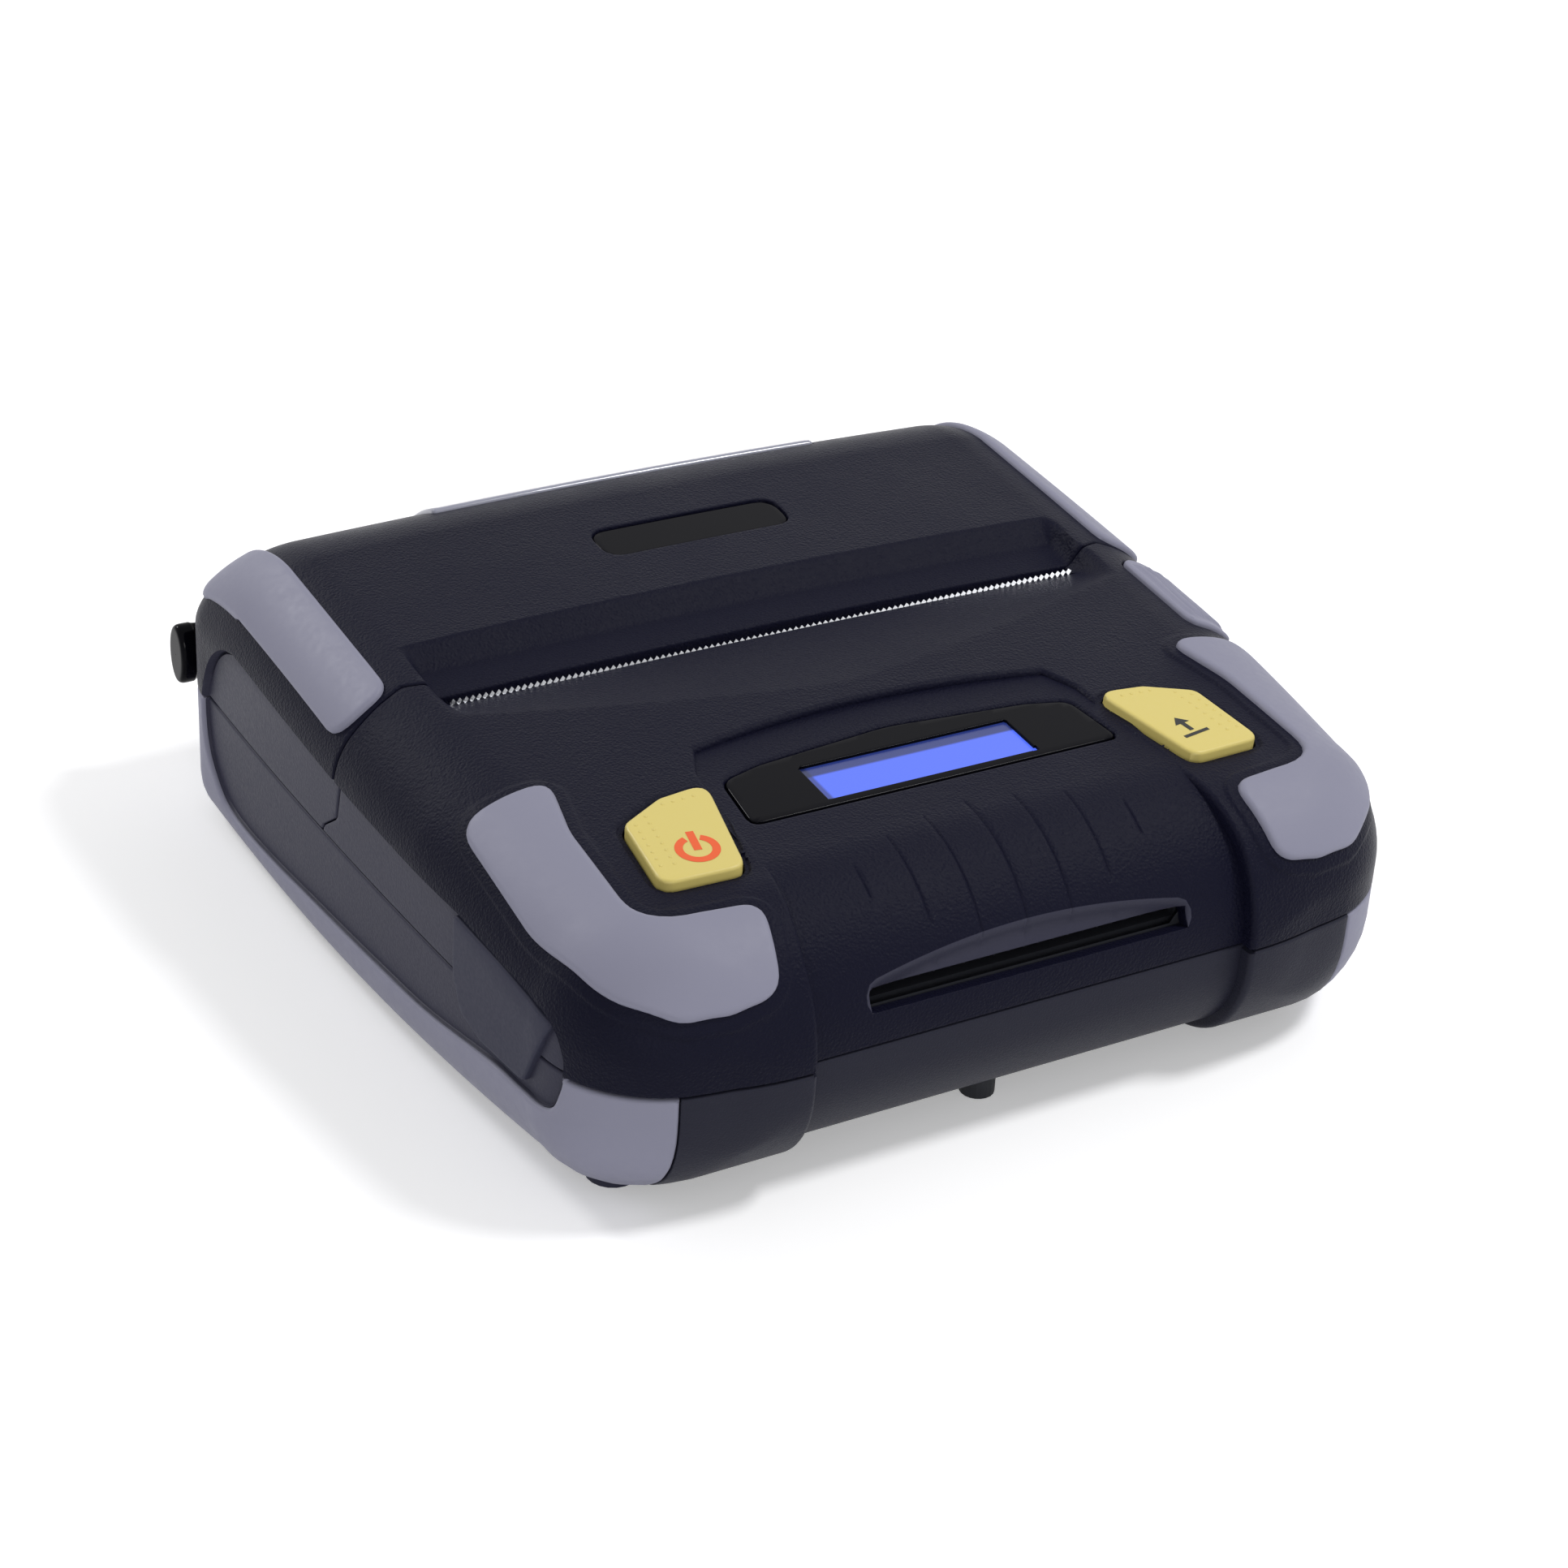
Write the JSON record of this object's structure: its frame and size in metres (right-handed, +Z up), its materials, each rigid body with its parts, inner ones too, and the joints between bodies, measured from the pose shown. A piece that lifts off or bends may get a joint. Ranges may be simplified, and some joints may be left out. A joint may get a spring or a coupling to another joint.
{
  "type": "portable receipt printer",
  "caption": "Battery-powered thermal receipt printer with a rear-hinged paper cover, tear bar, display, two keys, card slot and rubber bumpers",
  "frame": {"origin": "under the middle of the case, on the table", "axes": "+Z up, front towards -Y, +X to the right"},
  "size_m": [0.1556, 0.1572, 0.0543],
  "materials": {
    "case_plastic": "moulded case with a fine leather grain",
    "bumper_rubber": "smooth satin overmould",
    "button_rubber": "satin key caps",
    "gloss_trim": "polished black",
    "screen": "lit display behind its lens",
    "smoky_window": "tinted window",
    "steel": "pressed and turned parts",
    "heatsink": "extruded",
    "platen_rubber": "ground roller",
    "soft_black": "soft flap and feet",
    "inner_plastic": "plain moulding",
    "nylon": "gears and bushes",
    "board": "printed board with lacquer",
    "ceramic": "glazed head plate",
    "brass": "turned and stamped"
  },
  "bodies": {
    "case": {"lower_housing": "case_plastic", "upper_housing": "case_plastic", "lcd_lens": "gloss_trim", "strap_post_left": "gloss_trim", "strap_post_right": "gloss_trim", "lower_bumper_left": "bumper_rubber", "lower_bumper_right": "bumper_rubber", "front_bumper_left": "bumper_rubber", "front_bumper_right": "bumper_rubber", "lcd_module": "screen", "keypad_board": "board", "main_board": "board", "tear_bar": "steel", "head_spring_left": "steel", "head_spring_right": "steel", "head_bracket": "steel", "stepper_motor": "steel", "gear_plate": "steel", "comm_port": "steel", "hinge_pin": "steel", "housing_screw_front_left": "steel", "housing_screw_front_right": "steel", "housing_screw_back_left": "steel", "housing_screw_back_right": "steel", "print_head": "ceramic", "head_heatsink": "heatsink", "battery_contacts": "brass", "paper_trough": "inner_plastic", "card_reader": "inner_plastic", "battery_pack": "inner_plastic", "rubber_foot_front_left": "soft_black", "rubber_foot_front_right": "soft_black", "rubber_foot_back_left": "soft_black", "rubber_foot_back_right": "soft_black"},
    "cover": {"cover_shell": "case_plastic", "cover_window": "smoky_window", "cover_badge": "gloss_trim", "cover_bumper_left": "bumper_rubber", "cover_bumper_right": "bumper_rubber", "platen_bearing_left": "nylon", "platen_bearing_right": "nylon"},
    "platen": {"platen_roller": "platen_rubber", "platen_shaft": "steel", "platen_gear": "nylon"},
    "idler": {"idler_gear": "nylon"},
    "pinion": {"motor_pinion": "brass"},
    "power_key": {"power_button": "button_rubber"},
    "feed_key": {"feed_button": "button_rubber"},
    "release_key": {"release_button": "bumper_rubber"},
    "latch": {"release_latch": "steel"},
    "port_flap": {"comm_flap": "soft_black"},
    "battery_catch": {"battery_latch": "inner_plastic"}
  },
  "joints": [
    {"name": "cover_hinge", "type": "hinge", "parent": "case", "child": "cover", "pos_m": [0, 0.076, 0.0257], "axis": [-1, 0, 0], "range_deg": [0, 95]},
    {"name": "pinion_spin", "type": "hinge", "parent": "case", "child": "pinion", "pos_m": [0.0601, 0.0038, 0.01846], "axis": [1, 0, 0], "continuous": true},
    {"name": "idler_spin", "type": "hinge", "parent": "case", "child": "idler", "pos_m": [0.0601, 0.00587, 0.02907], "axis": [1, 0, 0], "continuous": true},
    {"name": "platen_spin", "type": "hinge", "parent": "cover", "child": "platen", "pos_m": [0, 0.0152, 0.0384], "axis": [1, 0, 0], "continuous": true},
    {"name": "power_press", "type": "slide", "parent": "case", "child": "power_key", "axis": [0, 0, -1], "range_m": [0, 0.0008], "stiffness_N_per_m": 1500},
    {"name": "feed_press", "type": "slide", "parent": "case", "child": "feed_key", "axis": [0, 0, -1], "range_m": [0, 0.0008], "stiffness_N_per_m": 1500},
    {"name": "latch_turn", "type": "hinge", "parent": "case", "child": "latch", "pos_m": [0, 0.0164, 0.026], "axis": [1, 0, 0], "range_deg": [0, 7.05], "stiffness_Nm_per_rad": 0.3},
    {"name": "release_press", "type": "slide", "parent": "case", "child": "release_key", "axis": [0, 0, -1], "range_m": [0, 0.00202]},
    {"name": "flap_swing", "type": "hinge", "parent": "case", "child": "port_flap", "pos_m": [-0.0759, -0.0324, 0.026], "axis": [0, 0, -1], "range_deg": [0, 100]},
    {"name": "battery_catch_slide", "type": "slide", "parent": "case", "child": "battery_catch", "axis": [0, -1, 0], "range_m": [0, 0.0022], "stiffness_N_per_m": 800}
  ],
  "couplings": [
    {"joint": "idler_spin", "follows": "platen_spin", "ratio": -0.69231},
    {"joint": "pinion_spin", "follows": "platen_spin", "ratio": 1.8},
    {"joint": "release_press", "follows": "latch_turn", "m_per_rad": 0.0163}
  ]
}
